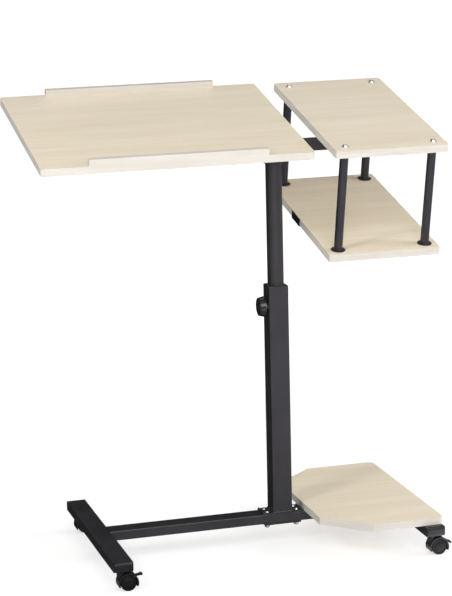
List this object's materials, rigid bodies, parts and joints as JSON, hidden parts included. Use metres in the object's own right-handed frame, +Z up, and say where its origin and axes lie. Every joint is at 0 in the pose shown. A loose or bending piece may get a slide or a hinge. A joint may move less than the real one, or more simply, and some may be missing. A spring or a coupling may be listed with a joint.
{
  "type": "adjustable laptop table",
  "caption": "Laptop table on castors: wide tilting top with ledges and a two-tier side shelf on a height-adjustable mast rising from an H-shaped base with a foot board",
  "frame": {"origin": "on the floor, at the middle of the table's footprint at rest", "axes": "+X to the user's right, towards the side shelf; +Y away from the user; +Z up"},
  "size_m": [0.8098, 0.4546, 0.9353],
  "materials": {
    "maple_board": "particle board faced with smooth semi-gloss light maple melamine, near-white edge band",
    "black_steel": "satin black powder coat",
    "black_plastic": "moulded black plastic, fine texture",
    "zinc_steel": "zinc plated",
    "chrome_steel": "nickel plated, polished dome",
    "wheel_nylon": "dark nylon castor wheel, slightly worn tread"
  },
  "bodies": {
    "base": {"base_beam": "black_steel", "left_foot_tube": "black_steel", "right_foot_tube": "black_steel", "foot_end_caps": "black_plastic", "foot_board": "maple_board", "foot_board_screws": "zinc_steel", "post_tube": "black_steel", "post_base_plate": "black_steel", "post_gussets": "black_steel", "lower_clamp_plate": "black_steel", "base_bolts": "zinc_steel", "base_nuts": "zinc_steel", "post_guide_bush": "black_plastic", "post_weld_nut": "zinc_steel", "castor_sockets": "black_plastic"},
    "height_knob": {"height_knob": "black_plastic", "height_knob_stud": "zinc_steel"},
    "slide_guide": {"inner_guide": "black_plastic"},
    "mast": {"mast_tube": "black_steel", "mast_head": "black_steel", "tilt_clamp_bolt": "zinc_steel"},
    "tilt_knob": {"tilt_knob": "black_plastic"},
    "tops": {"tilt_hub": "black_plastic", "cross_arm": "black_steel", "arm_end_caps": "black_plastic", "left_bearer": "black_steel", "middle_bearer": "black_steel", "side_bearer": "black_steel", "bearer_screws": "zinc_steel", "main_top": "maple_board", "front_ledge": "maple_board", "back_ledge": "maple_board", "ledge_screws": "zinc_steel", "side_shelf": "maple_board", "lower_shelf": "maple_board", "shelf_rods": "black_steel", "rod_inserts": "zinc_steel", "rod_flanges": "black_steel", "shelf_top_screws": "chrome_steel", "shelf_bottom_screws": "chrome_steel", "cable_clip": "black_plastic"},
    "castor_front_left_swivel": {"castor_front_left_hood": "black_plastic", "castor_front_left_stem": "zinc_steel", "castor_front_left_axle": "zinc_steel"},
    "castor_front_left_rollers": {"castor_front_left_wheels": "wheel_nylon"},
    "castor_front_left_lever": {"castor_front_left_brake": "black_plastic"},
    "castor_front_right_swivel": {"castor_front_right_hood": "black_plastic", "castor_front_right_stem": "zinc_steel", "castor_front_right_axle": "zinc_steel"},
    "castor_front_right_rollers": {"castor_front_right_wheels": "wheel_nylon"},
    "castor_front_right_lever": {"castor_front_right_brake": "black_plastic"},
    "castor_back_left_swivel": {"castor_back_left_hood": "black_plastic", "castor_back_left_stem": "zinc_steel", "castor_back_left_axle": "zinc_steel"},
    "castor_back_left_rollers": {"castor_back_left_wheels": "wheel_nylon"},
    "castor_back_right_swivel": {"castor_back_right_hood": "black_plastic", "castor_back_right_stem": "zinc_steel", "castor_back_right_axle": "zinc_steel"},
    "castor_back_right_rollers": {"castor_back_right_wheels": "wheel_nylon"}
  },
  "joints": [
    {"name": "height_slide", "type": "slide", "parent": "base", "child": "slide_guide", "axis": [0, 0, 1], "range_m": [-0.23, 0.09]},
    {"name": "mast_turn", "type": "hinge", "parent": "slide_guide", "child": "mast", "pos_m": [0.10507, -0.01025, 0.6], "axis": [0, 0, 1], "range_deg": [-90, 90]},
    {"name": "tops_tilt", "type": "hinge", "parent": "mast", "child": "tops", "pos_m": [0.10507, -0.01025, 0.817], "axis": [1, 0, 0], "range_deg": [-38, 22]},
    {"name": "height_knob_turn", "type": "hinge", "parent": "base", "child": "height_knob", "pos_m": [0.07257, -0.01025, 0.494], "axis": [-1, 0, 0], "range_deg": [0, 360]},
    {"name": "tilt_knob_turn", "type": "hinge", "parent": "mast", "child": "tilt_knob", "pos_m": [0.10507, 0.03175, 0.797], "axis": [0, 0, -1], "range_deg": [0, 360]},
    {"name": "castor_front_left_turn", "type": "hinge", "parent": "base", "child": "castor_front_left_swivel", "pos_m": [-0.27693, -0.20125, 0.043], "axis": [0, 0, 1], "continuous": true},
    {"name": "castor_front_left_roll", "type": "hinge", "parent": "castor_front_left_swivel", "child": "castor_front_left_rollers", "pos_m": [-0.26493, -0.20125, 0.016], "axis": [0, 1, 0], "continuous": true},
    {"name": "castor_front_left_lever_press", "type": "hinge", "parent": "castor_front_left_swivel", "child": "castor_front_left_lever", "pos_m": [-0.24954, -0.20125, 0.02678], "axis": [0, 1, 0], "range_deg": [0, 38]},
    {"name": "castor_front_right_turn", "type": "hinge", "parent": "base", "child": "castor_front_right_swivel", "pos_m": [0.36407, -0.20125, 0.043], "axis": [0, 0, 1], "continuous": true},
    {"name": "castor_front_right_roll", "type": "hinge", "parent": "castor_front_right_swivel", "child": "castor_front_right_rollers", "pos_m": [0.37606, -0.20125, 0.016], "axis": [0, 1, 0], "continuous": true},
    {"name": "castor_front_right_lever_press", "type": "hinge", "parent": "castor_front_right_swivel", "child": "castor_front_right_lever", "pos_m": [0.39147, -0.20125, 0.02678], "axis": [0, 1, 0], "range_deg": [-38, 0]},
    {"name": "castor_back_left_turn", "type": "hinge", "parent": "base", "child": "castor_back_left_swivel", "pos_m": [-0.27693, 0.18475, 0.043], "axis": [0, 0, 1], "continuous": true},
    {"name": "castor_back_left_roll", "type": "hinge", "parent": "castor_back_left_swivel", "child": "castor_back_left_rollers", "pos_m": [-0.26493, 0.18475, 0.016], "axis": [0, 1, 0], "continuous": true},
    {"name": "castor_back_right_turn", "type": "hinge", "parent": "base", "child": "castor_back_right_swivel", "pos_m": [0.36407, 0.18475, 0.043], "axis": [0, 0, 1], "continuous": true},
    {"name": "castor_back_right_roll", "type": "hinge", "parent": "castor_back_right_swivel", "child": "castor_back_right_rollers", "pos_m": [0.37606, 0.18475, 0.016], "axis": [0, 1, 0], "continuous": true}
  ]
}
